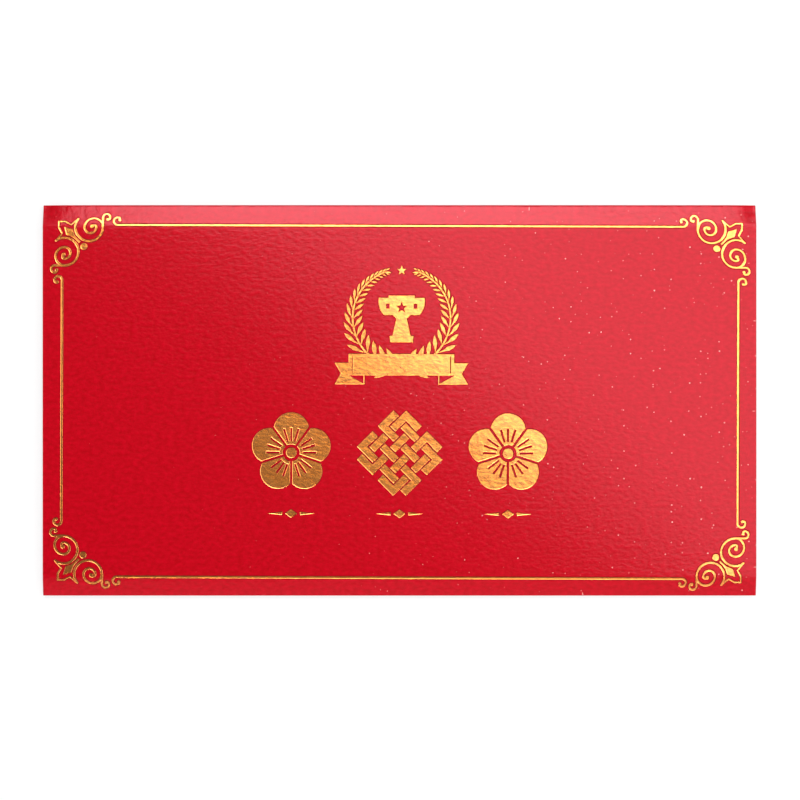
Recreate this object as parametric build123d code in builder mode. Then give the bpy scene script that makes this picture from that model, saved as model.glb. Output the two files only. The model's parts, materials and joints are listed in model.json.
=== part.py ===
from build123d import *
import os
from math import ceil, cos, pi, radians, sin

# A landscape red envelope: one creased sheet of card, closed by a flap, with gold foil on its face.
# It lies face up. X runs along its width, Y towards the fold of the closing flap, Z out of the face.
# The origin is under the middle of the outline, on the surface that the envelope lies on.

# The folded envelope
ENVELOPE_WIDTH = 182.5
ENVELOPE_HEIGHT = 100.0
PAPER_THICKNESS = 0.35
POCKET_GAP = 0.8
GLUE_THICKNESS = 0.05
FLAP_GAP = 0.3
FOIL_THICKNESS = 0.05

# The back panel
BACK_INSET = 1.0
MOUTH_DROP = 7.0
MOUTH_CORNER = 3.0

# The side flaps and the glue on them
SIDE_FLAP_WIDTH = 14.0
SIDE_FLAP_TAPER = 6.0
GLUE_WIDTH = 6.0
GLUE_END_GAP = 4.0

# The closing flap
FLAP_DEPTH = 42.0
FLAP_INSET = 1.5
FLAP_TAPER = 20.0
FLAP_CORNER = 9.0

# The print sits a little off the envelope's middle and a little turned
PRINT_OFFSET_X = 0.1
PRINT_OFFSET_Y = -0.38
PRINT_TURN = -0.2
FRAME_MARGIN_X = 4.85
FRAME_MARGIN_Y = 5.05

# Border lines, which end in hooks beside the corner ornaments
LINE_WIDTH = 0.56
LINE_END_GAP = 14.15
LINE_HOOK_RADIUS = 0.98
LINE_BEAD_RADIUS = 0.4

# Corner ornaments, measured from the corner of the frame, inwards along both of its sides
SCROLL_LINE_WIDTH = 0.55
SCROLL_RADIUS = 3.55
SCROLL_OFFSET_X = 6.86
SCROLL_OFFSET_Y = 0.63
SCROLL_BEAD_RADIUS = 0.52
TAIL_LENGTH = 2.55
TAIL_HOOK_RADIUS = 0.9
TAIL_BEAD_RADIUS = 0.42
BUD_LINE_WIDTH = 0.45
BALL_RADIUS = 0.88
BALL_OFFSET = 5.55

# Laurel wreath, with its star at the top
EMBLEM_X = 0.4
EMBLEM_Y = 21.4
WREATH_RADIUS = 12.5
WREATH_STEM_WIDTH = 0.48
LEAF_MAX_LENGTH = 4.4
LEAF_MIN_LENGTH = 1.25
LEAF_END_LENGTH = 1.9
STAR_RADIUS = 1.35
STAR_RISE = 12.15

# Cup
CUP_WIDTH = 11.7
CUP_HEIGHT = 12.0
CUP_DROP = 6.2
CUP_HOLE_WIDTH = 0.85
CUP_HOLE_HEIGHT = 1.2
CUP_STAR_RADIUS = 1.4

# Ribbon below the wreath
RIBBON_WIDTH = 27.0
RIBBON_HEIGHT = 5.5
RIBBON_DROP = 11.9
RIBBON_TAIL_LENGTH = 3.55
RIBBON_TAIL_DROP = 2.3
RIBBON_TAIL_NOTCH = 1.6
RIBBON_TAIL_RETURN = 4.1
RIBBON_FOLD_WIDTH = 0.3
RIBBON_CREASE_INSET = 0.95
RIBBON_CREASE_WIDTH = 0.2
RIBBON_CREASE_LENGTH = 4.2
KNOCKOUT_GAP = 0.03

# Motif row: a woven knot between two blossoms, with a small accent under each
MOTIF_PITCH = 27.7
MOTIF_Y = -13.1
KNOT_PITCH = 3.75
KNOT_STRAND_WIDTH = 1.85
KNOT_SLIT_WIDTH = 0.34
KNOT_LOOP_LENGTH = 2.3
PETAL_RADIUS = 4.5
PETAL_RING_RADIUS = 5.8
PETAL_GAP = 0.6
BLOSSOM_EYE_RADIUS = 2.2
BLOSSOM_BEAD_RADIUS = 1.35
STAMEN_RING_RADIUS = 3.0
STAMEN_LENGTH = 3.4
STAMEN_WIDTH = 0.5
ACCENT_Y = -28.6
ACCENT_LENGTH = 12.0
ACCENT_LOZENGE_WIDTH = 3.0
ACCENT_LOZENGE_HEIGHT = 2.2
ACCENT_DASH_WIDTH = 0.8
ACCENT_GAP = 0.8

# Shapes that are shares of the sizes above
VOLUTE_SHARES = (0.66, 0.42)
EYE_SHARE = 0.155
CURL_SHARE = 0.5
BUD_NOTCH_SHARES = (0.63, 0.0)
BUD_SHOULDER_SHARES = (0.2, -0.24)
BUD_TIP_SHARE = -0.24
KITE_TIP_SHARE = 0.14
KITE_SIDE_SHARES = (0.73, 0.31)
KITE_END_SHARE = 1.27
KITE_WAIST_SHARES = (0.88, 0.74)
LEAF_WIDTH_SHARE = 0.31
LEAF_OUT_STALK_SHARE = 0.54
LEAF_IN_STALK_SHARE = 0.28
LEAF_SIDE_SHARES = ((0.08, 0.45), (0.42, 1.0), (0.74, 0.7))
LEAF_CROWD_SHARE = 0.55
STAR_INNER_SHARE = 0.42
CUP_RIM_SHARES = ((0.0, 1.0), (0.287, 1.0), (0.287, 0.95), (0.5, 0.95))
CUP_BOWL_SHARES = ((0.5, 0.95), (0.466, 0.69), (0.385, 0.58))
CUP_STEM_SHARES = ((0.385, 0.58), (0.19, 0.58), (0.115, 0.505), (0.197, 0.145))
CUP_BASE_SHARES = ((0.197, 0.145), (0.263, 0.139), (0.25, 0.0), (0.0, 0.0))
CUP_HOLE_SHARES = (0.302, 0.77)
CUP_STAR_SHARE = 0.74

# Counts and angles, in degrees
ARC_STEP = 15
BEAD_SIDES = 10
BALL_SIDES = 16
STAR_POINTS = 5
PETALS = 5
KNOT_LINES = 4
STAMENS = 3
STAMEN_SPREAD = 17
LEAF_STATIONS = 18
WREATH_FIRST_ANGLE = 266
WREATH_LAST_ANGLE = 111
LEAF_SHRINK_POWER = 1.3
LEAF_LEAN_POWER = 6
LEAF_OUT_STALK_LEAN = 26
LEAF_OUT_LEANS = (30, 13)
LEAF_IN_STALK_LEAN = 45
LEAF_IN_LEANS = (56, 47)
LEAF_END_LEAN = 22
SCROLL_START_ANGLE = 219
EYE_TURN = 150
HOOK_TURN = 190
CURL_TURN = 105
KNOT_TURN = 45
HALF_TURN = 180

# Levels of the sheets, from the surface under the flap up to the printed face
flap_level = 0
back_level = PAPER_THICKNESS + FLAP_GAP
glue_level = back_level + PAPER_THICKNESS
side_flap_level = glue_level + GLUE_THICKNESS
front_level = side_flap_level + PAPER_THICKNESS + POCKET_GAP
face_level = front_level + PAPER_THICKNESS

# Each fold is a half-round strip between the front panel and the sheet that it joins
side_fold_reach = (face_level - side_flap_level) / 2
bottom_fold_reach = (face_level - back_level) / 2
top_fold_reach = (face_level - flap_level) / 2
side_edge = ENVELOPE_WIDTH / 2 - side_fold_reach
bottom_edge = bottom_fold_reach - ENVELOPE_HEIGHT / 2
top_edge = ENVELOPE_HEIGHT / 2 - top_fold_reach
mouth_edge = ENVELOPE_HEIGHT / 2 - MOUTH_DROP

os.makedirs("parts", exist_ok=True)


def hand_out(piece, name):
    piece.part.label = name
    export_step(piece.part, f"parts/{name}.step")


# Front panel
with BuildPart() as front_panel:
    with BuildSketch(Plane.XY.offset(front_level)):
        with Locations((0, (top_edge + bottom_edge) / 2)):
            Rectangle(2 * side_edge, top_edge - bottom_edge)
    extrude(amount=PAPER_THICKNESS)
hand_out(front_panel, "front_panel")

# Back panel, with rounded corners at the mouth
with BuildPart() as back_panel:
    with BuildSketch(Plane.XY.offset(back_level)) as back_outline:
        with Locations((0, (mouth_edge + bottom_edge) / 2)):
            Rectangle(ENVELOPE_WIDTH - 2 * BACK_INSET, mouth_edge - bottom_edge)
        fillet(back_outline.vertices().group_by(Axis.Y)[-1], radius=MOUTH_CORNER)
    extrude(amount=PAPER_THICKNESS)
hand_out(back_panel, "back_panel")

# Bottom fold, between the front and the back panel
with BuildPart() as bottom_fold:
    with BuildSketch(Plane.YZ):
        with BuildLine():
            bottom_fold_centre = (bottom_edge, face_level - bottom_fold_reach)
            CenterArc(bottom_fold_centre, bottom_fold_reach - PAPER_THICKNESS / 2, HALF_TURN / 2, HALF_TURN)
        trace(line_width=PAPER_THICKNESS)
    extrude(amount=ENVELOPE_WIDTH / 2, both=True)
hand_out(bottom_fold, "bottom_fold")

# Top fold, on whose centre line the closing flap turns
with BuildPart() as top_fold:
    with BuildSketch(Plane.YZ):
        with BuildLine():
            top_fold_centre = (top_edge, face_level - top_fold_reach)
            CenterArc(top_fold_centre, top_fold_reach - PAPER_THICKNESS / 2, -HALF_TURN / 2, HALF_TURN)
        trace(line_width=PAPER_THICKNESS)
    extrude(amount=ENVELOPE_WIDTH / 2, both=True)
hand_out(top_fold, "top_fold")

# Closing flap, folded behind the back panel
flap_root = ENVELOPE_WIDTH / 2 - FLAP_INSET
flap_tip = flap_root - FLAP_TAPER
flap_end = ENVELOPE_HEIGHT / 2 - FLAP_DEPTH
with BuildPart() as closing_flap:
    with BuildSketch(Plane.XY.offset(flap_level)) as flap_outline:
        with BuildLine():
            Polyline(
                (-flap_root, top_edge),
                (-flap_tip, flap_end),
                (flap_tip, flap_end),
                (flap_root, top_edge),
                close=True,
            )
        make_face()
        fillet(flap_outline.vertices().group_by(Axis.Y)[0], radius=FLAP_CORNER)
    extrude(amount=PAPER_THICKNESS)
hand_out(closing_flap, "closing_flap")

# Side folds, side flaps and the glue between each side flap and the back panel
glue_start = bottom_edge + SIDE_FLAP_TAPER
glue_end = mouth_edge - GLUE_END_GAP
for side, sign in (("left", -1), ("right", 1)):
    with BuildPart() as side_fold:
        with BuildSketch(Plane.XZ.offset(-top_edge)):
            with BuildLine():
                side_fold_centre = (sign * side_edge, face_level - side_fold_reach)
                side_fold_radius = side_fold_reach - PAPER_THICKNESS / 2
                CenterArc(side_fold_centre, side_fold_radius, -sign * HALF_TURN / 2, HALF_TURN)
            trace(line_width=PAPER_THICKNESS)
        extrude(amount=top_edge - bottom_edge)
    hand_out(side_fold, f"{side}_fold")

    with BuildPart() as side_flap:
        with BuildSketch(Plane.XY.offset(side_flap_level)):
            with BuildLine():
                flap_inner = sign * (side_edge - SIDE_FLAP_WIDTH)
                Polyline(
                    (sign * side_edge, bottom_edge),
                    (flap_inner, bottom_edge + SIDE_FLAP_TAPER),
                    (flap_inner, top_edge - SIDE_FLAP_TAPER),
                    (sign * side_edge, top_edge),
                    close=True,
                )
            make_face()
        extrude(amount=PAPER_THICKNESS)
    hand_out(side_flap, f"{side}_side_flap")

    with BuildPart() as glue_line:
        with BuildSketch(Plane.XY.offset(glue_level)):
            with Locations((sign * (side_edge - SIDE_FLAP_WIDTH / 2), (glue_start + glue_end) / 2)):
                SlotOverall(glue_end - glue_start, GLUE_WIDTH, rotation=HALF_TURN / 2)
        extrude(amount=GLUE_THICKNESS)
    hand_out(glue_line, f"{side}_glue_line")

# Foil is stamped on the print's own plane, in a frame that keeps its margins to the envelope's edges
frame_width = ENVELOPE_WIDTH - 2 * FRAME_MARGIN_X
frame_height = ENVELOPE_HEIGHT - 2 * FRAME_MARGIN_Y
print_place = Location((PRINT_OFFSET_X, PRINT_OFFSET_Y, face_level), (0, 0, PRINT_TURN))


def print_plane(x=0, y=0, turn=0):
    return Plane(print_place * Location((x, y, 0), (0, 0, turn)))


def arc_chain(start, heading, *arcs):
    """Points along arcs that run smoothly into one another, each given by its radius and its turn."""
    points = [Vector(*start)]
    for radius, turn in arcs:
        steps = ceil(abs(turn) / ARC_STEP)
        chord = 2 * radius * sin(radians(abs(turn) / steps / 2))
        for k in range(steps):
            chord_heading = heading + turn * (k + 1 / 2) / steps
            points.append(points[-1] + Vector(chord, 0).rotate(Axis.Z, chord_heading))
        heading += turn
    return points


def stroke(points, width):
    """The outline of a line of even width along a chain of points."""
    left, right = [], []
    for before, point, after in zip(points[:1] + points, points, points[1:] + points[-1:]):
        across = (after - before).normalized().rotate(Axis.Z, HALF_TURN / 2) * (width / 2)
        left.append(point + across)
        right.append(point - across)
    return left + right[::-1]


def hook(start, heading, radius):
    """Points of a hook that curls to the left and draws in at its end."""
    return arc_chain(start, heading, (radius, HOOK_TURN), (radius * CURL_SHARE, CURL_TURN))


def bead(place, radius):
    with Locations(place):
        RegularPolygon(radius, BEAD_SIDES)


# Border lines: the plane's y looks out of the frame, so both hooks curl outwards
SIDES = (
    ("top", 0, frame_height / 2, frame_width),
    ("left", 1, frame_width / 2, frame_height),
    ("bottom", 2, frame_height / 2, frame_width),
    ("right", 3, frame_width / 2, frame_height),
)
for side, quarter, distance, length in SIDES:
    turn = radians(quarter * HALF_TURN / 2)
    side_plane = print_plane(-distance * sin(turn), distance * cos(turn), quarter * HALF_TURN / 2)
    with BuildPart() as border_line:
        with BuildSketch(side_plane):
            line = [Vector(0, 0)] + hook((length / 2 - LINE_END_GAP, 0), 0, LINE_HOOK_RADIUS)
            Polygon(stroke(line, LINE_WIDTH))
            bead(line[-1], LINE_BEAD_RADIUS)
            mirror(about=Plane.YZ)
        extrude(amount=FOIL_THICKNESS)
    hand_out(border_line, f"{side}_border_line")

# Corner ornaments: one scroll, half a leaf bud and half a kite, mirrored over the corner's diagonal
CORNERS = (
    ("bottom_left", 0, -frame_width / 2, -frame_height / 2),
    ("bottom_right", 1, frame_width / 2, -frame_height / 2),
    ("top_right", 2, frame_width / 2, frame_height / 2),
    ("top_left", 3, -frame_width / 2, frame_height / 2),
)
diagonal = Plane(origin=(0, 0, 0), z_dir=(1, -1, 0))


def corner_points(*shares):
    return [Vector(u * SCROLL_RADIUS, v * SCROLL_RADIUS) for u, v in shares]


scroll_centre = Vector(SCROLL_OFFSET_X, SCROLL_OFFSET_Y)
scroll_start = scroll_centre + Vector(SCROLL_RADIUS, 0).rotate(Axis.Z, SCROLL_START_ANGLE)
scroll_arcs = [(SCROLL_RADIUS, -SCROLL_START_ANGLE)]
scroll_arcs += [(share * SCROLL_RADIUS, -HALF_TURN) for share in VOLUTE_SHARES]
scroll_arcs += [(EYE_SHARE * SCROLL_RADIUS, -EYE_TURN)]
scroll = arc_chain(scroll_start, SCROLL_START_ANGLE - HALF_TURN / 2, *scroll_arcs)
tail_start = scroll_centre + Vector(SCROLL_RADIUS, 0)
tail = [tail_start] + hook(tail_start - Vector(0, TAIL_LENGTH), -HALF_TURN / 2, TAIL_HOOK_RADIUS)
bud_tip = (BUD_TIP_SHARE, BUD_TIP_SHARE)
bud = [scroll_start] + corner_points(BUD_NOTCH_SHARES, BUD_SHOULDER_SHARES, bud_tip)
kite_tip = (KITE_TIP_SHARE, KITE_TIP_SHARE)
kite_end = (KITE_END_SHARE, KITE_END_SHARE)
kite = corner_points(kite_end, kite_tip, KITE_SIDE_SHARES, KITE_WAIST_SHARES)
kite_stem = [(kite[0] + kite[1]) / 2, kite[0]]
for corner, quarter, corner_x, corner_y in CORNERS:
    with BuildPart() as corner_ornament:
        with BuildSketch(print_plane(corner_x, corner_y, quarter * HALF_TURN / 2)):
            Polygon(stroke(scroll, SCROLL_LINE_WIDTH))
            bead(scroll[-1], SCROLL_BEAD_RADIUS)
            Polygon(stroke(tail, SCROLL_LINE_WIDTH))
            bead(tail[-1], TAIL_BEAD_RADIUS)
            Polygon(stroke(bud, BUD_LINE_WIDTH))
            bead(bud[0], BUD_LINE_WIDTH / 2)
            bead(bud[-1], BUD_LINE_WIDTH / 2)
            Polygon(kite)
            Polygon(stroke(kite_stem, BUD_LINE_WIDTH))
            with Locations((BALL_OFFSET, BALL_OFFSET)):
                RegularPolygon(BALL_RADIUS, BALL_SIDES)
            mirror(about=diagonal)
        extrude(amount=FOIL_THICKNESS)
    hand_out(corner_ornament, f"{corner}_corner_ornament")


def star_points(centre_x, centre_y, radius):
    points = []
    for k in range(2 * STAR_POINTS):
        angle = pi / 2 + k * pi / STAR_POINTS
        reach = radius if k % 2 == 0 else radius * STAR_INNER_SHARE
        points.append((centre_x + reach * cos(angle), centre_y + reach * sin(angle)))
    return points


# Ribbon: a plain band, and at each end a crease, an open fold and a notched tail that hangs lower
emblem_plane = print_plane(EMBLEM_X, EMBLEM_Y)
band_end = RIBBON_WIDTH / 2
band_top = RIBBON_HEIGHT / 2 - RIBBON_DROP
band_bottom = band_top - RIBBON_HEIGHT
tail_top = band_top - RIBBON_TAIL_DROP
tail_bottom = band_bottom - RIBBON_TAIL_DROP
tail_end = band_end + RIBBON_TAIL_LENGTH
fold_end = band_end - RIBBON_TAIL_RETURN
with BuildPart() as ribbon:
    with BuildSketch(emblem_plane):
        Polygon(
            (tail_end, tail_top),
            (tail_end - RIBBON_TAIL_NOTCH, (tail_top + tail_bottom) / 2),
            (tail_end, tail_bottom),
            (fold_end, tail_bottom),
            (band_end, band_bottom),
            (band_end, tail_top),
        )
        with Locations((fold_end, tail_bottom)):
            Rectangle(RIBBON_FOLD_WIDTH, RIBBON_TAIL_DROP, align=(Align.MIN, Align.MIN))
        mirror(about=Plane.YZ)
        with Locations((0, (band_top + band_bottom) / 2)):
            Rectangle(RIBBON_WIDTH, RIBBON_HEIGHT)
        crease = band_end - RIBBON_CREASE_INSET
        for x in (-crease, crease):
            with Locations((x, (band_top + band_bottom) / 2)):
                Rectangle(RIBBON_CREASE_WIDTH, RIBBON_CREASE_LENGTH, mode=Mode.SUBTRACT)
    extrude(amount=FOIL_THICKNESS)
hand_out(ribbon, "ribbon_foil")

# Laurel branches: pairs of leaves on an arched stem, which crowd and shrink towards the top
branch_turn = WREATH_LAST_ANGLE - WREATH_FIRST_ANGLE


def leaf_points(root, stalk, angle, length):
    """Outline of a leaf: a stalk that widens from the stem into a pointed blade."""
    foot = root + stalk
    along = Vector(length, 0).rotate(Axis.Z, angle)
    across = along.rotate(Axis.Z, HALF_TURN / 2) * LEAF_WIDTH_SHARE / 2
    left = [foot + along * t + across * wide for t, wide in LEAF_SIDE_SHARES]
    right = [foot + along * t - across * wide for t, wide in LEAF_SIDE_SHARES[::-1]]
    return [root, *left, foot + along, *right]


leaf_sides = (
    (1, LEAF_OUT_STALK_SHARE, LEAF_OUT_STALK_LEAN, LEAF_OUT_LEANS),
    (-1, LEAF_IN_STALK_SHARE, LEAF_IN_STALK_LEAN, LEAF_IN_LEANS),
)
with BuildPart() as left_branch:
    with BuildSketch(emblem_plane):
        with BuildLine():
            CenterArc((0, 0), WREATH_RADIUS, WREATH_FIRST_ANGLE, branch_turn)
        trace(line_width=WREATH_STEM_WIDTH)
        for k in range(LEAF_STATIONS):
            climb = k / (LEAF_STATIONS - 1)
            angle = WREATH_FIRST_ANGLE + branch_turn * (climb + LEAF_CROWD_SHARE * climb * (1 - climb))
            shrink = (1 - climb) ** LEAF_SHRINK_POWER
            leaf_length = LEAF_MIN_LENGTH + (LEAF_MAX_LENGTH - LEAF_MIN_LENGTH) * shrink
            root = Vector(WREATH_RADIUS, 0).rotate(Axis.Z, angle)
            ahead = angle - HALF_TURN / 2
            for way, stalk_share, stalk_lean, (low, high) in leaf_sides:
                stalk = Vector(stalk_share * leaf_length, 0).rotate(Axis.Z, ahead + way * stalk_lean)
                lean = high + (low - high) * (1 - climb) ** LEAF_LEAN_POWER
                Polygon(leaf_points(root, stalk, ahead + way * lean, leaf_length))
        Polygon(leaf_points(root, Vector(0, 0), ahead - LEAF_END_LEAN, LEAF_END_LENGTH))
        with Locations((0, (band_top + band_bottom) / 2)):
            Rectangle(RIBBON_WIDTH + 2 * KNOCKOUT_GAP, RIBBON_HEIGHT + 2 * KNOCKOUT_GAP, mode=Mode.SUBTRACT)
    extrude(amount=FOIL_THICKNESS)
hand_out(left_branch, "left_laurel_branch")

with BuildPart() as right_branch:
    mirror(left_branch.part, about=Plane(emblem_plane.origin, x_dir=(0, 0, 1), z_dir=emblem_plane.x_dir))
hand_out(right_branch, "right_laurel_branch")

# Star over the wreath's opening
with BuildPart() as star:
    with BuildSketch(emblem_plane):
        Polygon(star_points(0, STAR_RISE, STAR_RADIUS))
    extrude(amount=FOIL_THICKNESS)
hand_out(star, "star_foil")

# Cup: half its outline, mirrored, with a hole in each handle and a star left open in the bowl
cup_plane = print_plane(EMBLEM_X, EMBLEM_Y - CUP_DROP)


def cup_points(shares):
    return [(x_share * CUP_WIDTH, y_share * CUP_HEIGHT) for x_share, y_share in shares]


with BuildPart() as cup:
    with BuildSketch(cup_plane):
        with BuildLine():
            Polyline(*cup_points(CUP_RIM_SHARES))
            ThreePointArc(*cup_points(CUP_BOWL_SHARES))
            Polyline(*cup_points(CUP_STEM_SHARES))
            Polyline(*cup_points(CUP_BASE_SHARES))
            Line((0, 0), (0, CUP_HEIGHT))
        make_face()
        with Locations(cup_points([CUP_HOLE_SHARES])):
            Rectangle(CUP_HOLE_WIDTH, CUP_HOLE_HEIGHT, mode=Mode.SUBTRACT)
        mirror(about=Plane.YZ)
        Polygon(star_points(0, CUP_STAR_SHARE * CUP_HEIGHT, CUP_STAR_RADIUS), mode=Mode.SUBTRACT)
    extrude(amount=FOIL_THICKNESS)
hand_out(cup, "cup_foil")

# Woven knot: four link loops, two each way, with slits where a strand passes under another
knot_rows = [(k - (KNOT_LINES - 1) / 2) * KNOT_PITCH for k in range(KNOT_LINES)]
loop_run = 2 * (knot_rows[-1] + KNOT_LOOP_LENGTH)
slit_offset = (KNOT_STRAND_WIDTH + KNOT_SLIT_WIDTH) / 2
with BuildSketch() as link:
    Rectangle(loop_run + KNOT_STRAND_WIDTH, KNOT_PITCH + KNOT_STRAND_WIDTH)
    Rectangle(loop_run - KNOT_STRAND_WIDTH, KNOT_PITCH - KNOT_STRAND_WIDTH, mode=Mode.SUBTRACT)
with BuildPart() as knot:
    with BuildSketch(print_plane(0, MOTIF_Y, KNOT_TURN)):
        for place in (-KNOT_PITCH, KNOT_PITCH):
            with Locations((0, place)):
                add(link.sketch)
            with Locations((place, 0)):
                add(link.sketch, rotation=HALF_TURN / 2)
        for i, x in enumerate(knot_rows):
            for j, y in enumerate(knot_rows):
                if (i + j) % 2 == 0:
                    with Locations((x, y - slit_offset), (x, y + slit_offset)):
                        Rectangle(KNOT_STRAND_WIDTH, KNOT_SLIT_WIDTH, mode=Mode.SUBTRACT)
                else:
                    with Locations((x - slit_offset, y), (x + slit_offset, y)):
                        Rectangle(KNOT_SLIT_WIDTH, KNOT_STRAND_WIDTH, mode=Mode.SUBTRACT)
    extrude(amount=FOIL_THICKNESS)
hand_out(knot, "knot_foil")

# Blossoms: five parted petals with open stamens round a bead
petal_start = HALF_TURN / 2
parting_start = petal_start + HALF_TURN / PETALS
for side, x in (("left", -MOTIF_PITCH), ("right", MOTIF_PITCH)):
    with BuildPart() as blossom:
        with BuildSketch(print_plane(x, MOTIF_Y)):
            with PolarLocations(PETAL_RING_RADIUS, PETALS, start_angle=petal_start):
                Circle(PETAL_RADIUS)
            with PolarLocations(PETAL_RING_RADIUS, PETALS, start_angle=parting_start):
                Rectangle(2 * PETAL_RING_RADIUS, PETAL_GAP, mode=Mode.SUBTRACT)
            for k in range(STAMENS):
                stamen_start = petal_start + (k - (STAMENS - 1) / 2) * STAMEN_SPREAD
                with PolarLocations(STAMEN_RING_RADIUS, PETALS, start_angle=stamen_start):
                    stamen_align = (Align.MIN, Align.CENTER)
                    Rectangle(STAMEN_LENGTH, STAMEN_WIDTH, align=stamen_align, mode=Mode.SUBTRACT)
            RegularPolygon(BLOSSOM_EYE_RADIUS, BALL_SIDES, mode=Mode.SUBTRACT)
            RegularPolygon(BLOSSOM_BEAD_RADIUS, BALL_SIDES)
        extrude(amount=FOIL_THICKNESS)
    hand_out(blossom, f"{side}_blossom_foil")

# Accents: a lozenge between two tapering dashes
for side, x in (("left", -MOTIF_PITCH), ("middle", 0), ("right", MOTIF_PITCH)):
    with BuildPart() as accent:
        with BuildSketch(print_plane(x, ACCENT_Y)):
            dash_start = ACCENT_LOZENGE_WIDTH / 2 + ACCENT_GAP
            Polygon(
                (dash_start, -ACCENT_DASH_WIDTH / 2),
                (ACCENT_LENGTH / 2, 0),
                (dash_start, ACCENT_DASH_WIDTH / 2),
            )
            mirror(about=Plane.YZ)
            Polygon(
                (ACCENT_LOZENGE_WIDTH / 2, 0),
                (0, ACCENT_LOZENGE_HEIGHT / 2),
                (-ACCENT_LOZENGE_WIDTH / 2, 0),
                (0, -ACCENT_LOZENGE_HEIGHT / 2),
            )
        extrude(amount=FOIL_THICKNESS)
    hand_out(accent, f"{side}_accent_foil")
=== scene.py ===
import json
import math

import bmesh
import bpy
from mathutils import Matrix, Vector


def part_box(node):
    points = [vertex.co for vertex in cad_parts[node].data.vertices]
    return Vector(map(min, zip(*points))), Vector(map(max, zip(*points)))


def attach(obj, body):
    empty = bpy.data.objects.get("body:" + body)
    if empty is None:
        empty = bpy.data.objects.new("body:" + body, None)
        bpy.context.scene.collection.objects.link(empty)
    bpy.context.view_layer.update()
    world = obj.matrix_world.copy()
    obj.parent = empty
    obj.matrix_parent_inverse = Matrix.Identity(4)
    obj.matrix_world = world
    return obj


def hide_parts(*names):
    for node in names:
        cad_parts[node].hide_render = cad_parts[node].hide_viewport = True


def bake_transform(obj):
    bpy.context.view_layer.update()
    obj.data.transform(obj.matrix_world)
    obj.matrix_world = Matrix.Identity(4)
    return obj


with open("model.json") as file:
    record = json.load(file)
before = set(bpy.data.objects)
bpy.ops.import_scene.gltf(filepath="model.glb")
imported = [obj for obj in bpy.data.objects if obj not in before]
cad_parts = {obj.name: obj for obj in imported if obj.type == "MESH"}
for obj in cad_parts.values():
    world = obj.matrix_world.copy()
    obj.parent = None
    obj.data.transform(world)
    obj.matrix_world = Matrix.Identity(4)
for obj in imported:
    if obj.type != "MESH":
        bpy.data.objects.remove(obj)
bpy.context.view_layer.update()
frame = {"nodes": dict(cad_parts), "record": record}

nodes = frame["nodes"]
MM = 0.001
QUARTER_TURN = math.pi / 2

# Sizes read from the solids
front_low, front_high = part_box("front_panel")
back_low, back_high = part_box("back_panel")
flap_low, flap_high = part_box("closing_flap")
tab_low, tab_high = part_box("left_side_flap")
half_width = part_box("right_fold")[1].x
outline_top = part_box("top_fold")[1].y
outline_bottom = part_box("bottom_fold")[0].y
card = front_high.z - front_low.z
face = front_high.z
side_edge = front_high.x
top_edge = front_high.y
bottom_edge = front_low.y

# How the card bends: the bands outside the border lines tip down, most of all at the upper corners,
# and the whole face is a little crowned
BEND_INSET = 0.9 * MM
TOP_TIP = 0.12
BOTTOM_TIP = 0.12
SIDE_TIP = 0.03
TIP_ROUND = 0.6 * MM
CORNER_DIP = 0.26 * MM
CORNER_REACH = 8 * MM
CROWN = 0.08 * MM
TAB_CLEARANCE = 0.03 * MM
top_bend = sum(p.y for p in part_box("top_border_line")) / 2 - BEND_INSET
bottom_bend = sum(p.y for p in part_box("bottom_border_line")) / 2 + BEND_INSET
side_bend = sum(p.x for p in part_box("right_border_line")) / 2

# Outlines of the sheets, and the section of their folds
MOUTH_CORNER = 3 * MM
TAB_TAPER = 6 * MM
FLAP_CORNER = 9 * MM
FLAP_TAPER = 20 * MM
FOLD_SHARES = (0.0, 0.25, 0.5, 0.7, 0.82, 0.9, 0.95, 0.98, 0.997, 1.0)
FOLD_STEPS = 9
CREASE_POWER = 0.2
FOLD_POWER = 0.72
NARROW_POWER = 3
CUT_ANGLE = math.radians(50)
CUT_ROUND = 0.05 * MM
CUT_SEGMENTS = 2
CUT_PROFILE = 0.5

# How fine the sheets are, and how near points are when they count as one
LEAST_STEP = 0.35 * MM
MOST_STEP = 4 * MM
STEP_GROWTH = 3
TAB_STEP = 3.5 * MM
FLAP_STEP = 3 * MM
FLAP_CORNER_STEPS = 8
BACK_STEP_SHARE = 0.04
SHEET_WELD = 0.0005 * MM
SEAM_WELD = 0.001 * MM
FOIL_WELD = 0.0001 * MM

# How the foil is stamped
RIM_WIDTH = 0.1 * MM
RIM_DEPTH = 0.03 * MM
# The dark flat ring round each foil shape, which is painted shade of the stamped edge
EDGE_WIDTH = 0.17 * MM
EDGE_LIFT = 0.004 * MM
EDGE_MITRE = 0.7
TOP_FACING = 0.9


def tip(distance, slope):
    """How far a tipped band drops at a distance past its bend, which is rounded."""
    return slope * (distance + math.hypot(distance, TIP_ROUND)) / 2


def face_height(x, y):
    """Height of the card's printed face."""
    crown = CROWN * ((x / half_width) ** 2 + (y / outline_top) ** 2)
    bands = tip(y - top_bend, TOP_TIP) + tip(bottom_bend - y, BOTTOM_TIP)
    bands += tip(abs(x) - side_bend, SIDE_TIP)
    across = max(0.0, abs(x) - side_edge + CORNER_REACH) / CORNER_REACH
    along = max(0.0, y - top_bend) / (top_edge - top_bend)
    return face - crown - bands - CORNER_DIP * across ** 2 * along


def tab_height(x, y):
    """Height of a side flap's outer face, which is pressed down where the front dips far."""
    return min(tab_low.z, face_height(x, y) - 2 * card - TAB_CLEARANCE)


def spread(low, high, step):
    """Even places from low to high, at most a step apart."""
    count = max(1, math.ceil((high - low) / step))
    return [low + (high - low) * k / count for k in range(count + 1)]


def stations(low, high, bends):
    """Places from low to high, which crowd at the bends."""
    places = [low]
    while places[-1] < high:
        near = min(abs(places[-1] - bend) for bend in bends)
        step = max(LEAST_STEP, min(MOST_STEP, near / STEP_GROWTH))
        places.append(min(high, places[-1] + step))
    return places


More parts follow.
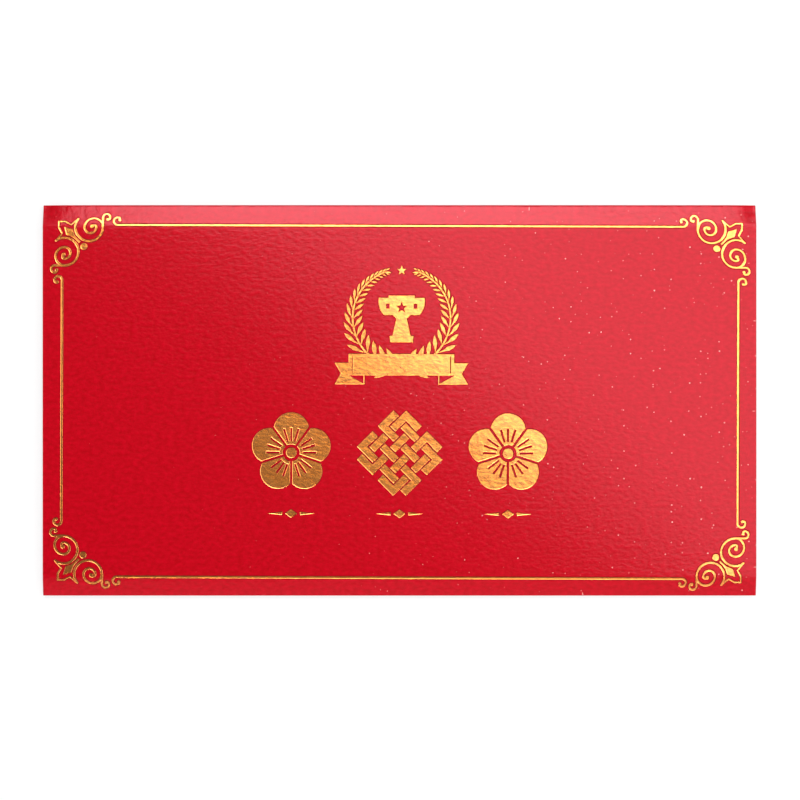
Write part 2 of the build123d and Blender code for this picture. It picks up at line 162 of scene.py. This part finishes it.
def fold_section(angle):
    """How far out and how high a fold is, as shares, at an angle from 0, the face, to pi, the sheet below."""
    power = CREASE_POWER if angle < QUARTER_TURN else FOLD_POWER
    height = math.copysign(abs(math.cos(angle)) ** power, math.cos(angle))
    return math.sin(angle) ** power, height


def link_object(name, data):
    item = bpy.data.objects.new(name, data)
    bpy.context.scene.collection.objects.link(item)
    return item


# Sheets of card
SHEET_MAP = "sheet"
INSIDE_SLOT = 1


class Sheet:
    """A card sheet as patches of quads, with its unfolded place as the UV map."""

    def __init__(self):
        self.mesh = bmesh.new()
        self.uv = self.mesh.loops.layers.uv.new(SHEET_MAP)

    def patch(self, rows):
        """Each row is a list of (point, unfolded place), and the outer face looks along row x column."""
        made = [[self.mesh.verts.new(point) for point, _ in row] for row in rows]
        for j in range(len(rows) - 1):
            for i in range(len(rows[j]) - 1):
                corners = ((j, i), (j, i + 1), (j + 1, i + 1), (j + 1, i))
                quad = self.mesh.faces.new([made[a][b] for a, b in corners])
                quad.smooth = True
                for loop, (a, b) in zip(quad.loops, corners):
                    loop[self.uv].uv = rows[a][b][1]

    def finish(self, name, materials):
        """Gives the sheet its thickness, inward from the outer face, and makes an object of it."""
        bmesh.ops.remove_doubles(self.mesh, verts=self.mesh.verts, dist=SHEET_WELD)
        data = bpy.data.meshes.new(name)
        self.mesh.to_mesh(data)
        self.mesh.free()
        piece = link_object(name, data)
        for material in materials:
            data.materials.append(material)
        solid = piece.modifiers.new("card", "SOLIDIFY")
        solid.thickness = card
        solid.offset = -1
        solid.use_even_offset = True
        solid.material_offset = INSIDE_SLOT
        solid.material_offset_rim = INSIDE_SLOT
        bpy.context.view_layer.update()
        graph = bpy.context.evaluated_depsgraph_get()
        made = bpy.data.meshes.new_from_object(piece.evaluated_get(graph))
        made.name = name
        piece.modifiers.clear()
        piece.data = made
        self.soften_cut_edges(made)
        return piece

    def on_seam(self, point):
        """Whether a point lies where the flap's sheet meets the front."""
        return abs(point.y - top_edge) < SEAM_WELD and point.z > (face + flap_low.z) / 2

    def soften_cut_edges(self, data):
        """Rounds the cut edges, but leaves those of the seam sharp."""
        mesh = bmesh.new()
        mesh.from_mesh(data)
        cut = [e for e in mesh.edges if e.is_manifold and e.calc_face_angle() > CUT_ANGLE]
        rest = []
        for edge in cut:
            if all(self.on_seam(vert.co) for vert in edge.verts):
                edge.smooth = False
            else:
                rest.append(edge)
        bmesh.ops.bevel(mesh, geom=rest, offset=CUT_ROUND, segments=CUT_SEGMENTS, profile=CUT_PROFILE,
                        affect="EDGES", clamp_overlap=True)
        mesh.to_mesh(data)
        mesh.free()


# Materials
FELT_STRETCH = (0.75, 1.15, 1.0)
MOTTLE_SCALE = 900.0
MOTTLE_DETAIL = 1.0
MOTTLE_ROUGHNESS = 0.5
GRAIN_SCALE = 3300.0
GRAIN_DETAIL = 2.0
GRAIN_ROUGHNESS = 0.6
GRAIN_WEIGHT = 0.25
FELT_LOW = 0.4
FELT_HIGH = 0.85
BUMP_DEPTH = 0.2 * MM

CARD_DARK = (0.435, 0.0001, 0.005, 1)
CARD_LIGHT = (0.55, 0.0004, 0.01, 1)
CARD_BUMP = 0.26
CARD_ROUGHNESS = 0.19
CARD_GLOSS = 0.6
CARD_TINT = (1.0, 0.33, 0.38, 1)
# Pale flakes painted into the card's colour as glints: they are painted larger to the right, where the light
# from the right catches them
PAINTED_GLINT_FLAKE_COLOUR = (1.0, 0.5, 0.45, 1)
FLAKE_SCALE = 660.0
PAINTED_GLINT_LEFT = -60 * MM
PAINTED_GLINT_RIGHT = 70 * MM
PAINTED_GLINT_LEAST = 0.02
PAINTED_GLINT_MOST = 0.12
FLAKE_POWER = 3.0

INSIDE_DARK = (0.48, 0.012, 0.02, 1)
INSIDE_LIGHT = (0.60, 0.02, 0.03, 1)
INSIDE_ROUGHNESS = 0.85
INSIDE_GLOSS = 0.2
# A darker red for the ring round the foil: painted shade
SHADE_RING_DARK = (0.22, 0.0005, 0.004, 1)
SHADE_RING_LIGHT = (0.30, 0.0008, 0.006, 1)
SHADE_RING_ROUGHNESS = 0.7
SHADE_RING_GLOSS = 0.1
PLAIN_BUMP = 0.3

GOLD_DARK = (0.92, 0.26, 0.02, 1)
GOLD_LIGHT = (1.0, 0.34, 0.045, 1)
FOIL_BUMP = 0.26
FOIL_ROUGHNESS = 0.24
COAT_ROUGHNESS = 0.2
COAT_IOR = 1.65

GLUE_DARK = (0.75, 0.66, 0.5, 1)
GLUE_LIGHT = (0.86, 0.8, 0.68, 1)
GLUE_SCALE = 500.0
GLUE_DETAIL = 3.0
GLUE_ROUGHNESS = 0.4

# The mix node's sockets for colours
MIX_FACTOR = 0
MIX_FIRST = 6
MIX_SECOND = 7
MIX_RESULT = 2


def node_material(name):
    material = bpy.data.materials.new(name)
    material.use_nodes = True
    tree = material.node_tree
    tree.nodes.clear()
    return material, tree


def add(tree, kind, inputs=None, **settings):
    """Adds a node, and links or sets its inputs."""
    node = tree.nodes.new(kind)
    for key, value in settings.items():
        setattr(node, key, value)
    for key, value in (inputs or {}).items():
        if isinstance(value, bpy.types.NodeSocket):
            tree.links.new(value, node.inputs[key])
        else:
            node.inputs[key].default_value = value
    return node


def calculate(tree, operation, first, second):
    return add(tree, "ShaderNodeMath", {0: first, 1: second}, operation=operation).outputs[0]


def blend_colours(tree, factor, first, second):
    inputs = {MIX_FACTOR: factor, MIX_FIRST: first, MIX_SECOND: second}
    return add(tree, "ShaderNodeMix", inputs, data_type="RGBA", clamp_factor=True).outputs[MIX_RESULT]


def felt(tree, place, strength):
    """The felt mark of the card, soft mottling with a fine grain: its tone and its normal."""
    stretch = {0: place, 1: FELT_STRETCH}
    drawn = add(tree, "ShaderNodeVectorMath", stretch, operation="MULTIPLY").outputs[0]
    mottle = add(tree, "ShaderNodeTexNoise", {
        "Vector": drawn, "Scale": MOTTLE_SCALE, "Detail": MOTTLE_DETAIL, "Roughness": MOTTLE_ROUGHNESS,
    }).outputs["Fac"]
    grain = add(tree, "ShaderNodeTexNoise", {
        "Vector": drawn, "Scale": GRAIN_SCALE, "Detail": GRAIN_DETAIL, "Roughness": GRAIN_ROUGHNESS,
    }).outputs["Fac"]
    height = calculate(tree, "ADD", mottle, calculate(tree, "MULTIPLY", grain, GRAIN_WEIGHT))
    tone = add(tree, "ShaderNodeMapRange", {"Value": height, "From Min": FELT_LOW, "From Max": FELT_HIGH})
    bump = add(tree, "ShaderNodeBump", {"Height": height, "Strength": strength, "Distance": BUMP_DEPTH})
    return tone.outputs[0], bump.outputs[0]


def card_material():
    """Red pearl card with pale flakes of many strengths, painted into its colour as glints that grow larger
    to the right, where the light catches them.
    """
    material, tree = node_material("red_pearl_card")
    place = add(tree, "ShaderNodeUVMap", uv_map=SHEET_MAP).outputs[0]
    tone, normal = felt(tree, place, CARD_BUMP)
    red = blend_colours(tree, tone, CARD_DARK, CARD_LIGHT)
    cells = add(tree, "ShaderNodeTexVoronoi", {"Vector": place, "Scale": FLAKE_SCALE, "Randomness": 1.0})
    # Painted glints: the flakes grow from small at the left to large at the right, where the light catches
    # them
    size = add(tree, "ShaderNodeMapRange", {
        "Value": add(tree, "ShaderNodeSeparateXYZ", {0: place}).outputs["X"],
        "From Min": PAINTED_GLINT_LEFT, "From Max": PAINTED_GLINT_RIGHT, "To Min": PAINTED_GLINT_LEAST, "To Max": PAINTED_GLINT_MOST,
    }).outputs[0]
    dot = calculate(tree, "LESS_THAN", cells.outputs["Distance"], size)
    chance = add(tree, "ShaderNodeSeparateColor", {"Color": cells.outputs["Color"]}).outputs["Red"]
    flake_and_painted_glint = calculate(tree, "MULTIPLY", dot, calculate(tree, "POWER", chance, FLAKE_POWER))
    surface = add(tree, "ShaderNodeBsdfPrincipled", {
        "Base Color": blend_colours(tree, flake_and_painted_glint, red, PAINTED_GLINT_FLAKE_COLOUR), "Roughness": CARD_ROUGHNESS,
        "Specular IOR Level": CARD_GLOSS, "Specular Tint": CARD_TINT, "Normal": normal,
    })
    add(tree, "ShaderNodeOutputMaterial", {"Surface": surface.outputs[0]})
    return material


def plain_card_material(name, dark, light, roughness, gloss):
    """Red card without the pearl coat."""
    material, tree = node_material(name)
    place = add(tree, "ShaderNodeTexCoord").outputs["Object"]
    tone, normal = felt(tree, place, PLAIN_BUMP)
    surface = add(tree, "ShaderNodeBsdfPrincipled", {
        "Base Color": blend_colours(tree, tone, dark, light), "Roughness": roughness,
        "Specular IOR Level": gloss, "Normal": normal,
    })
    add(tree, "ShaderNodeOutputMaterial", {"Surface": surface.outputs[0]})
    return material


def foil_material():
    """Lacquered gold foil that takes on the card's felt mark."""
    material, tree = node_material("gold_foil")
    place = add(tree, "ShaderNodeTexCoord").outputs["Object"]
    tone, normal = felt(tree, place, FOIL_BUMP)
    surface = add(tree, "ShaderNodeBsdfPrincipled", {
        "Base Color": blend_colours(tree, tone, GOLD_DARK, GOLD_LIGHT), "Metallic": 1.0,
        "Roughness": FOIL_ROUGHNESS, "Coat Weight": 1.0, "Coat Roughness": COAT_ROUGHNESS,
        "Coat IOR": COAT_IOR, "Normal": normal,
    })
    add(tree, "ShaderNodeOutputMaterial", {"Surface": surface.outputs[0]})
    return material


def glue_material():
    material, tree = node_material("dried_glue")
    place = add(tree, "ShaderNodeTexCoord").outputs["Object"]
    cloud = add(tree, "ShaderNodeTexNoise", {"Vector": place, "Scale": GLUE_SCALE, "Detail": GLUE_DETAIL})
    colour = blend_colours(tree, cloud.outputs["Fac"], GLUE_DARK, GLUE_LIGHT)
    surface = add(tree, "ShaderNodeBsdfPrincipled", {"Base Color": colour, "Roughness": GLUE_ROUGHNESS})
    add(tree, "ShaderNodeOutputMaterial", {"Surface": surface.outputs[0]})
    return material


outside = card_material()
inside = plain_card_material(
    "red_card_inside", INSIDE_DARK, INSIDE_LIGHT, INSIDE_ROUGHNESS, INSIDE_GLOSS)
# Darker card for the ring round the foil: painted shade of the stamped edge
pressed = plain_card_material(
    "red_card_pressed", SHADE_RING_DARK, SHADE_RING_LIGHT, SHADE_RING_ROUGHNESS, SHADE_RING_GLOSS)
gold = foil_material()
glue = glue_material()

# The body of the envelope: front, folds, side flaps and back, as one sheet
side_reach = half_width - side_edge
upper_angles = [math.asin(share ** (1 / CREASE_POWER)) for share in FOLD_SHARES]
lower_angles = [QUARTER_TURN + QUARTER_TURN * k / FOLD_STEPS for k in range(FOLD_STEPS + 1)]
fold_angles = upper_angles + lower_angles[1:]
rounded = [side_edge + side_reach * share for share in FOLD_SHARES]
flat_columns = stations(-side_edge, side_edge, (-side_bend, side_bend))
columns = [-x for x in rounded[:0:-1]] + flat_columns + rounded[1:]
ys = stations(bottom_edge, top_edge, (bottom_bend, top_bend))


def front_point(x, y):
    """A point of the printed face, on the round of a side fold where it lies beyond the flat."""
    over = min(1.0, max(0.0, (abs(x) - side_edge) / side_reach))
    angle = math.asin(over ** (1 / CREASE_POWER))
    z = face_height(max(-side_edge, min(side_edge, x)), y)
    middle = (z + tab_height(side_edge, y)) / 2
    place = math.copysign(min(abs(x), side_edge) + angle * side_reach, x)
    return Vector((x, y, middle + (z - middle) * fold_section(angle)[1])), (place, y)


def fold_rows(start, reach, low, slope, sign, half):
    """Rows of a fold along the top or bottom edge, down to a lower sheet that has its own half width."""
    rows = []
    for angle in fold_angles:
        out, height = fold_section(angle)
        narrow = 1 + (half / half_width - 1) * (angle / math.pi) ** NARROW_POWER
        row = []
        for point, place in start:
            rise = (point.z - low) / 2
            drop = slope * reach * out * (1 + height) / 2
            z = low + rise * (1 + height) - drop
            moved = Vector((point.x * narrow, point.y + sign * reach * out, z))
            row.append((moved, (place[0], place[1] + sign * angle * (reach + rise) / 2)))
        rows.append(row)
    return rows


body = Sheet()
body.patch([[front_point(x, y) for x in columns] for y in ys])

# Side folds below the outline, and the side flaps
tab_width = tab_high.x - tab_low.x
for sign in (-1, 1):
    strips = []
    for angle in lower_angles:
        out, height = fold_section(angle)
        x = side_edge + side_reach * out
        row = []
        for y in ys:
            z = face_height(side_edge, y)
            middle = (z + tab_height(side_edge, y)) / 2
            point = Vector((sign * x, y, middle + (z - middle) * height))
            row.append((point, (sign * (side_edge + side_reach * angle), y)))
        strips.append(row)
    start = side_edge + side_reach * math.pi
    for x in spread(0, tab_width, TAB_STEP)[1:]:
        row = []
        for y in ys:
            share = (y - bottom_edge) / (top_edge - bottom_edge)
            pulled = y + TAB_TAPER * (x / tab_width) * (1 - 2 * share)
            z = tab_height(side_edge - x, pulled)
            row.append((Vector((sign * (side_edge - x), pulled, z)), (sign * (start + x), pulled)))
        strips.append(row)
    body.patch(strips if sign < 0 else strips[::-1])

# Bottom fold and back panel, which has rounded corners at its mouth
back_half = back_high.x
seam = [front_point(x, bottom_edge) for x in columns]
rows = fold_rows(seam, bottom_edge - outline_bottom, back_low.z, BOTTOM_TIP, -1, back_half)
last = rows[-1]
for share in spread(0, 1, BACK_STEP_SHARE)[1:]:
    row = []
    for point, place in last:
        over = max(0.0, abs(point.x) - (back_half - MOUTH_CORNER))
        top = back_high.y - MOUTH_CORNER + math.sqrt(max(0.0, MOUTH_CORNER ** 2 - over ** 2))
        rise = (top - bottom_edge) * share
        row.append((Vector((point.x, bottom_edge + rise, back_low.z)), (place[0], place[1] - rise)))
    rows.append(row)
body.patch(rows[::-1])
envelope = body.finish("card_body", [outside, inside])
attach(envelope, "envelope")
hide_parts("front_panel", "back_panel", "bottom_fold", "left_fold", "right_fold", "left_side_flap",
            "right_side_flap")

# The closing flap with the fold that it turns on, as a second sheet
root_half = flap_high.x
depth = flap_high.y - flap_low.y
side_lean = math.atan2(FLAP_TAPER, depth)
corner_drop = FLAP_CORNER * (1 - math.sin(side_lean))


def flap_half(y):
    """Half the flap's width, with its rounded tips."""
    tangent_y = max(y, flap_low.y + corner_drop)
    straight = root_half - FLAP_TAPER * (flap_high.y - tangent_y) / depth
    if y >= tangent_y:
        return straight
    rise = FLAP_CORNER - (y - flap_low.y)
    return straight - FLAP_CORNER * math.cos(side_lean) + math.sqrt(max(0.0, FLAP_CORNER ** 2 - rise ** 2))


lid = Sheet()
seam = [front_point(x, top_edge) for x in columns]
rows = fold_rows(seam, outline_top - top_edge, flap_low.z, TOP_TIP, 1, root_half)
last = rows[-1]
down = spread(0, depth - corner_drop, FLAP_STEP)[1:]
for k in range(1, FLAP_CORNER_STEPS + 1):
    down.append(depth - corner_drop + corner_drop * math.sin(QUARTER_TURN * k / FLAP_CORNER_STEPS))
for d in down:
    y = flap_high.y - d
    wide = flap_half(y) / root_half
    row = []
    for point, place in last:
        row.append((Vector((point.x * wide, y, flap_low.z)), (place[0] * wide, place[1] + d)))
    rows.append(row)
lid.patch(rows)
flap = lid.finish("card_flap", [outside, inside])
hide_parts("closing_flap", "top_fold")
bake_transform(flap)


# Foil: the stamped solids on the bent face, with a raised rim, and a dark ring of card round them, which is
# painted shade of the stamped edge
def lay_on_face(mesh, name, material, low, high):
    """Cuts a flat mesh into short runs, bends it to the face and makes an object of it."""
    for axis in (0, 1):
        along = Vector((0, 0, 0))
        along[axis] = 1
        bends = (top_bend, bottom_bend) if axis else (-side_bend, side_bend)
        for place in stations(low[axis], high[axis], bends)[1:-1]:
            everything = mesh.verts[:] + mesh.edges[:] + mesh.faces[:]
            bmesh.ops.bisect_plane(mesh, geom=everything, plane_co=along * place, plane_no=along)
    for vert in mesh.verts:
        vert.co.z += face_height(vert.co.x, vert.co.y) - face
    data = bpy.data.meshes.new(name)
    mesh.to_mesh(data)
    mesh.free()
    data.materials.append(material)
    piece = link_object(name, data)
    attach(piece, "envelope")
    return piece


def painted_shade_ring(foil, top):
    """A narrow flat ring round the outline of a stamped shape, laid in darker card as painted shade."""
    ring = bmesh.new()
    pairs = {}
    outward = {}
    sides = []
    for edge in foil.edges:
        walls = [f for f in edge.link_faces if f not in top]
        if len(edge.link_faces) == 2 and len(walls) == 1:
            sides.append(edge)
            for vert in edge.verts:
                outward.setdefault(vert, []).append(walls[0].normal)
    for vert, normals in outward.items():
        total = sum(normals, Vector((0, 0, 0)))
        step = total / max(EDGE_MITRE, total.dot(normals[0]))
        at = Vector((vert.co.x, vert.co.y, face + EDGE_LIFT))
        pairs[vert] = (ring.verts.new(at), ring.verts.new(at + Vector((step.x, step.y, 0)) * EDGE_WIDTH))
    for edge in sides:
        (a, a_out), (b, b_out) = pairs[edge.verts[0]], pairs[edge.verts[1]]
        ring.faces.new((a, b, b_out, a_out))
    bmesh.ops.recalc_face_normals(ring, faces=ring.faces[:])
    for quad in ring.faces:
        if quad.normal.z < 0:
            quad.normal_flip()
    return ring


def press_foil(name):
    """Makes the pressed foil of a stamped solid, and the dark ring of painted shade round it."""
    low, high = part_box(name)
    foil = bmesh.new()
    foil.from_mesh(nodes[name].data)
    bmesh.ops.remove_doubles(foil, verts=foil.verts, dist=FOIL_WELD)
    top = [f for f in foil.faces if f.normal.z > TOP_FACING]
    ring = painted_shade_ring(foil, set(top))
    bmesh.ops.inset_region(foil, faces=top, thickness=RIM_WIDTH, use_even_offset=True, use_boundary=True)
    for vert in {v for f in top for v in f.verts}:
        vert.co.z -= RIM_DEPTH
    piece = lay_on_face(foil, name + "_pressed", gold, low, high)
    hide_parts(name)
    # The dark ring round the foil is painted shade
    piece = lay_on_face(ring, name + "_edge", pressed, low, high)


for entry in frame["record"]["subparts"]:
    if entry["material_slot"] == "gold_foil":
        press_foil(entry["node"])
    elif entry["material_slot"] == "glue":
        nodes[entry["node"]].data.materials.clear()
        nodes[entry["node"]].data.materials.append(glue)

# Floor: a round white floor that curves up into a wall all round, and glows a little where it is seen
WHITE = (1, 1, 1, 1)
FLOOR_RADIUS = 4.0
FLOOR_DROP = 0.1 * MM
FLOOR_WELD = 0.01 * MM
FLOOR_COLOUR = (0.9, 0.9, 0.9, 1)
COVE_RADIUS = 1.0
COVE_STEPS = 8
WALL_HEIGHT = 3.0
SPIN_STEPS = 64
GLOW_SHARE = 0.65
GLOW_STRENGTH = 1.02
section = [(0.0, 0.0), (FLOOR_RADIUS, 0.0)]
for k in range(1, COVE_STEPS + 1):
    turn = QUARTER_TURN * k / COVE_STEPS
    section.append((FLOOR_RADIUS + COVE_RADIUS * math.sin(turn), COVE_RADIUS * (1 - math.cos(turn))))
section.append((FLOOR_RADIUS + COVE_RADIUS, WALL_HEIGHT))
cove = bmesh.new()
line = [cove.verts.new((x, 0, z)) for x, z in section]
profile = line + [cove.edges.new(pair) for pair in zip(line, line[1:])]
bmesh.ops.spin(cove, geom=profile, axis=(0, 0, 1), cent=(0, 0, 0), angle=2 * math.pi, steps=SPIN_STEPS,
               use_merge=True)
bmesh.ops.remove_doubles(cove, verts=cove.verts, dist=FLOOR_WELD)
bmesh.ops.recalc_face_normals(cove, faces=cove.faces[:])
for quad in cove.faces:
    quad.smooth = True
floor_mesh = bpy.data.meshes.new("floor")
cove.to_mesh(floor_mesh)
cove.free()
floor = link_object("floor", floor_mesh)
floor.location.z = -FLOOR_DROP
floor_paint, tree = node_material("white_floor")
path = add(tree, "ShaderNodeLightPath").outputs
seen = calculate(tree, "MAXIMUM", path["Is Camera Ray"], path["Is Glossy Ray"])
seen = calculate(tree, "MAXIMUM", seen, path["Is Transmission Ray"])
glow_share = calculate(tree, "MULTIPLY", seen, GLOW_SHARE)
matt = add(tree, "ShaderNodeBsdfDiffuse", {"Color": FLOOR_COLOUR})
glow = add(tree, "ShaderNodeEmission", {"Color": WHITE, "Strength": GLOW_STRENGTH})
mixed = add(tree, "ShaderNodeMixShader", {0: glow_share, 1: matt.outputs[0], 2: glow.outputs[0]})
add(tree, "ShaderNodeOutputMaterial", {"Surface": mixed.outputs[0]})
floor_mesh.materials.append(floor_paint)

# Light: a room that is dimmer to the left, and six soft boxes. The turned one above the right gives the
# face its sheen, the strips light the tipped bands, and the others light the foil from the left, the
# right and low in front.
BRIGHT_SIDE = (0.8, 0.6, 0.0)
DIM_END = -0.5
BRIGHT_END = 0.3
DIM_LEVEL = 0.08
BRIGHT_LEVEL = 0.34
world = bpy.data.worlds.new("studio")
bpy.context.scene.world = world
world.use_nodes = True
tree = world.node_tree
tree.nodes.clear()
way = add(tree, "ShaderNodeTexCoord").outputs["Generated"]
towards = add(tree, "ShaderNodeVectorMath", {0: way, 1: BRIGHT_SIDE}, operation="DOT_PRODUCT")
level = add(tree, "ShaderNodeMapRange", {
    "Value": towards.outputs["Value"], "From Min": DIM_END, "From Max": BRIGHT_END,
    "To Min": DIM_LEVEL, "To Max": BRIGHT_LEVEL,
}, interpolation_type="SMOOTHSTEP")
room = add(tree, "ShaderNodeBackground", {"Color": WHITE, "Strength": level.outputs[0]})
add(tree, "ShaderNodeOutputWorld", {"Surface": room.outputs[0]})


def soft_box(name, middle, turn, width, height, radiance):
    """An even rectangle of light, in metres, turned in degrees from facing down."""
    data = bpy.data.lights.new(name, "AREA")
    data.shape = "RECTANGLE"
    data.size = width
    data.size_y = height
    data.energy = radiance * math.pi * width * height
    lamp = link_object(name, data)
    lamp.location = middle
    lamp.rotation_euler = [math.radians(angle) for angle in turn]


soft_box("right_box", middle=(0.123, 0.133, 0.6), turn=(0, 0, 50), width=0.3, height=0.75, radiance=2.9)
soft_box("top_strip", middle=(0.04, 0.28, 0.59), turn=(0, 0, 0), width=0.56, height=0.12, radiance=7.2)
soft_box("bottom_strip", middle=(0.0, -0.3, 0.59), turn=(0, 0, 0), width=0.7, height=0.12, radiance=1.0)
soft_box("left_box", middle=(-0.5, -0.05, 0.5), turn=(0, -45, 0), width=0.15, height=0.4, radiance=3.0)
soft_box("key_box", middle=(0.45, 0.05, 0.4), turn=(0, 48, 0), width=0.1, height=0.3, radiance=8.0)
soft_box("front_box", middle=(-0.05, -0.6, 0.17), turn=(75, 0, 0), width=0.7, height=0.12, radiance=8.5)

# Camera: straight above, with the photograph's framing, whose sizes are in its pixels
PHOTO_SIDE = 800
PHOTO_ENVELOPE_WIDTH = 714.48
PHOTO_SHIFT_X = 0.5
PHOTO_SHIFT_Y = 0.33
LENS = 60
CLIP_START = 0.01
pixel = 2 * half_width / PHOTO_ENVELOPE_WIDTH
camera_data = bpy.data.cameras.new("camera")
camera_data.lens = LENS
camera_data.clip_start = CLIP_START
distance = PHOTO_SIDE * pixel * LENS / camera_data.sensor_width
camera = link_object("camera", camera_data)
camera.location = (PHOTO_SHIFT_X * pixel, PHOTO_SHIFT_Y * pixel, face + distance)
bpy.context.scene.camera = camera
bpy.context.scene.view_settings.view_transform = "Standard"
